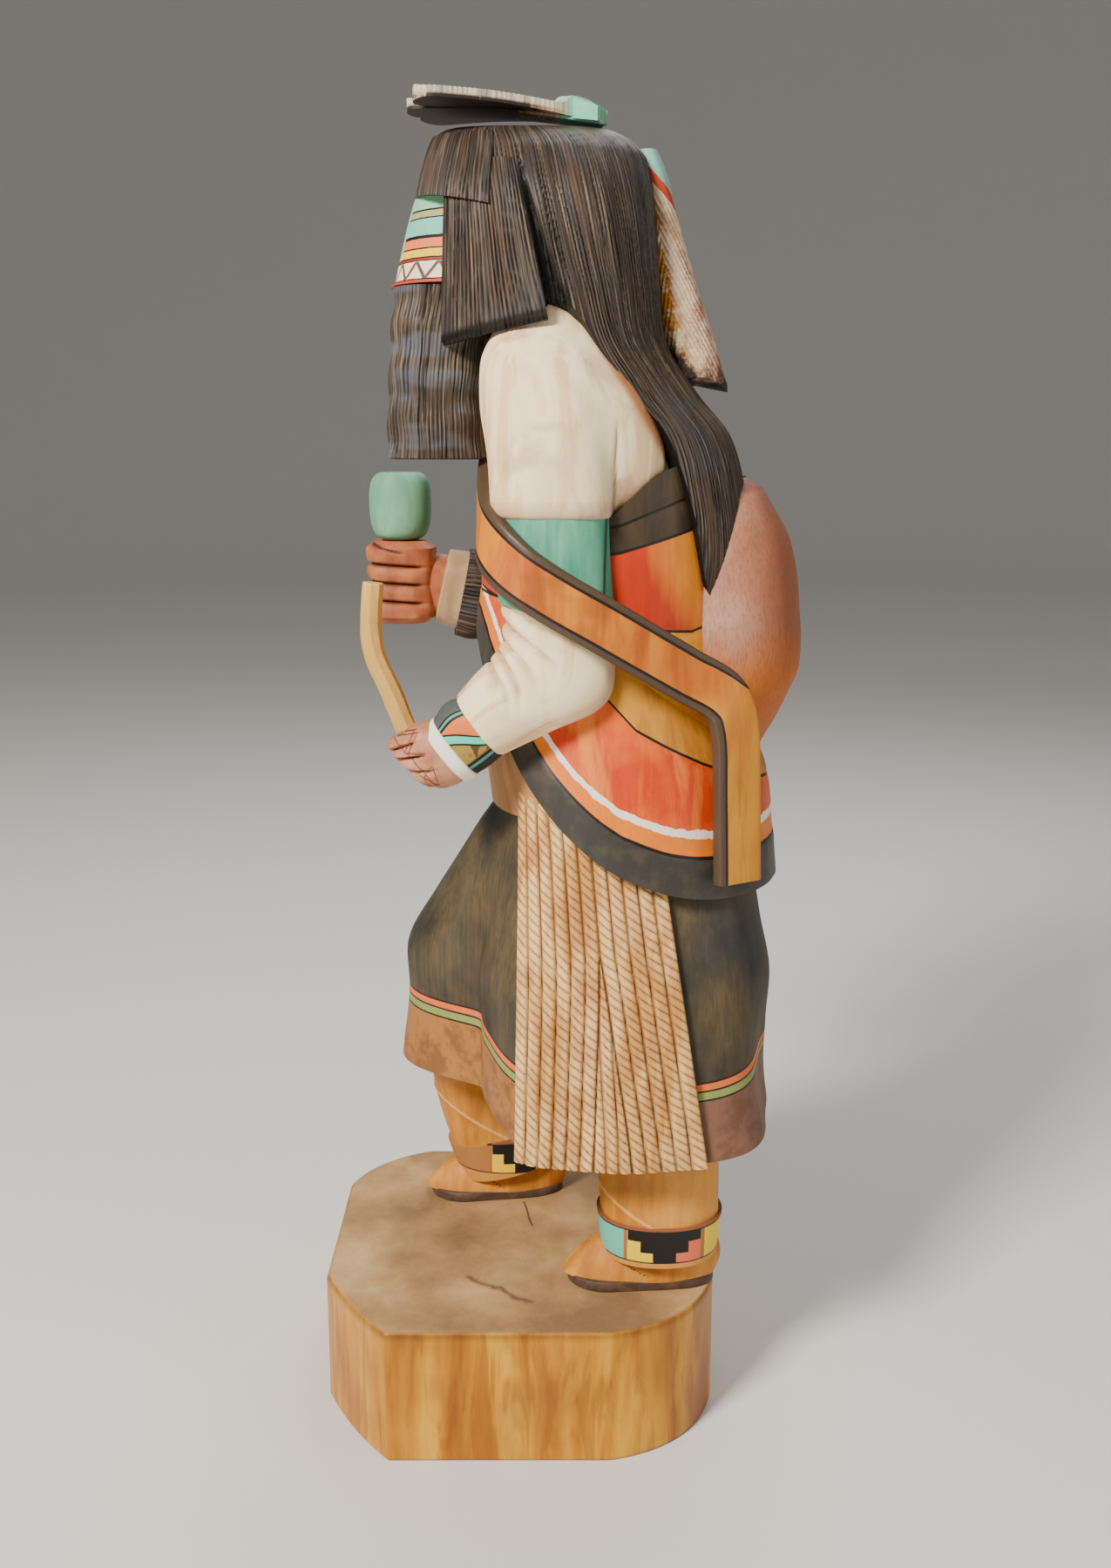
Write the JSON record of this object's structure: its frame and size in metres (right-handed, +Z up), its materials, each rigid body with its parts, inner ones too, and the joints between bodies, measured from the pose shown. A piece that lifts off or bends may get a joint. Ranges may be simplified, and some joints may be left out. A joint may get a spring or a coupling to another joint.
{
  "type": "kachina doll",
  "caption": "Carved and painted wooden doll of a long-haired masked dancer with rattle and bent stick, on a block base.",
  "frame": {"origin": "middle of the block's underside, where it stands", "axes": "+Z up, the figure faces -Y, its left side is on +X"},
  "size_m": [0.124, 0.1486, 0.4021],
  "materials": {
    "base_block": "varnished cottonwood block, worn and greyed on top",
    "figure": "carved cottonwood root, stained and painted",
    "crook_stick": "peeled stick, pale yellow",
    "rattle": "turned wood, sage green paint",
    "crest_feathers": "carved feathers, cream with grey edges and a turquoise binding",
    "back_plume": "carved plume, cream to brown, with a red binding",
    "hair": "combed grooves, black-brown stain",
    "mask": "painted bands with burnt lines",
    "shirt": "thin white paint over grain",
    "shawl": "orange-red stain with charcoal border",
    "dress": "black stain rubbed through to ochre",
    "sash": "bare wood with burnt strokes",
    "pack": "orange-tan stain with short burnt strokes",
    "strap": "orange-brown stain with dark edges",
    "skin": "red-brown stain",
    "leggings": "yellow-ochre stain"
  },
  "bodies": {
    "root": {"base_block": "base_block", "figure": "figure", "crook_stick": "crook_stick", "rattle": "rattle", "crest_feathers": "crest_feathers", "back_plume": "back_plume"}
  },
  "joints": []
}
